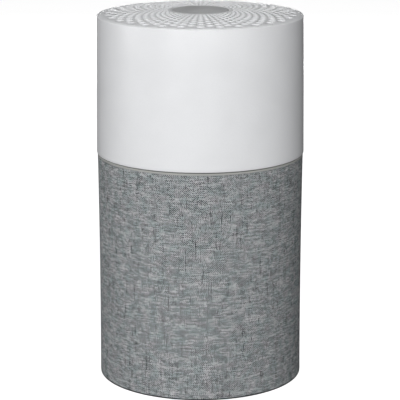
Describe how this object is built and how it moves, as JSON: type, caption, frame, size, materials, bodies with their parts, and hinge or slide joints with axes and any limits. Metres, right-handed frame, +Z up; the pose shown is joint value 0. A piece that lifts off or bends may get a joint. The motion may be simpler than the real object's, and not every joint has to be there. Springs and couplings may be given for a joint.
{
  "type": "air purifier",
  "caption": "Round tabletop air purifier with a white housing, perforated domed top, centre push button, and a grey fabric sleeve over a lift-out ring filter",
  "frame": {"origin": "on the floor at the centre of the round base", "axes": "+Z is up along the body's axis, -Y is the front, +Y is the back with the cord gland, +X is the right side seen from the front"},
  "size_m": [0.2002, 0.2002, 0.359],
  "materials": {
    "white_shell": "smooth satin-gloss moulded white ABS",
    "white_inner": "plain moulded white ABS",
    "grey_button": "fine-grained mid-grey moulded plastic",
    "dark_plastic": "dark grey moulded polypropylene",
    "sleeve_fabric": "heathered grey plain-weave polyester",
    "hem_plastic": "warm light-grey moulded plastic",
    "rubber": "soft black rubber",
    "filter_foam": "moulded polyurethane foam",
    "filter_paper": "pleated non-woven filter media",
    "carbon": "carbon-loaded non-woven layer",
    "pull_tab": "woven polyester tape",
    "steel": "zinc-plated steel",
    "lamination": "stacked electrical steel",
    "copper": "enamelled copper wire",
    "magnet": "bonded ferrite",
    "circuit_board": "green solder-masked board",
    "components": "moulded electronic parts"
  },
  "bodies": {
    "base": {"foot_pads": "rubber", "base_tray": "dark_plastic", "base_screws": "steel", "sleeve_cage": "dark_plastic", "fabric_sleeve": "sleeve_fabric", "sleeve_top_ring": "hem_plastic"},
    "filter": {"filter_lower_cap": "filter_foam", "filter_upper_cap": "filter_foam", "filter_seal": "filter_foam", "filter_pull_tab": "pull_tab", "filter_core": "white_inner", "carbon_layer": "carbon", "filter_media": "filter_paper"},
    "upper_unit": {"housing_shell": "white_shell", "cord_gland": "rubber", "lower_deck": "white_inner", "deck_screws": "steel", "inlet_guard": "white_inner", "fan_shroud": "white_inner", "guide_vanes": "white_inner", "hub_cover": "white_inner", "driver_board": "circuit_board", "board_parts": "components", "bearing_stem": "steel", "motor_bearings": "steel", "motor_stator": "lamination", "motor_windings": "copper", "top_grille": "white_shell", "button_base": "white_inner", "button_board": "circuit_board", "tact_switch": "components"},
    "rotor": {"impeller": "white_inner", "impeller_nut": "steel", "rotor_bell": "steel", "rotor_magnets": "magnet", "motor_shaft": "steel"},
    "button": {"button_cap": "grey_button"}
  },
  "joints": [
    {"name": "upper_lift", "type": "slide", "parent": "base", "child": "upper_unit", "axis": [0, 0, 1], "range_m": [0, 0.3]},
    {"name": "filter_lift", "type": "slide", "parent": "base", "child": "filter", "axis": [0, 0, 1], "range_m": [0, 0.21]},
    {"name": "rotor_spin", "type": "hinge", "parent": "upper_unit", "child": "rotor", "pos_m": [0, 0, 0.27], "axis": [0, 0, 1], "continuous": true},
    {"name": "button_press", "type": "slide", "parent": "upper_unit", "child": "button", "axis": [0, 0, -1], "range_m": [0, 0.0012], "stiffness_N_per_m": 600, "springref_m": -0.0015}
  ],
  "couplings": [
    {"joint": "filter_lift", "follows": "upper_lift", "ratio": 0.7}
  ]
}
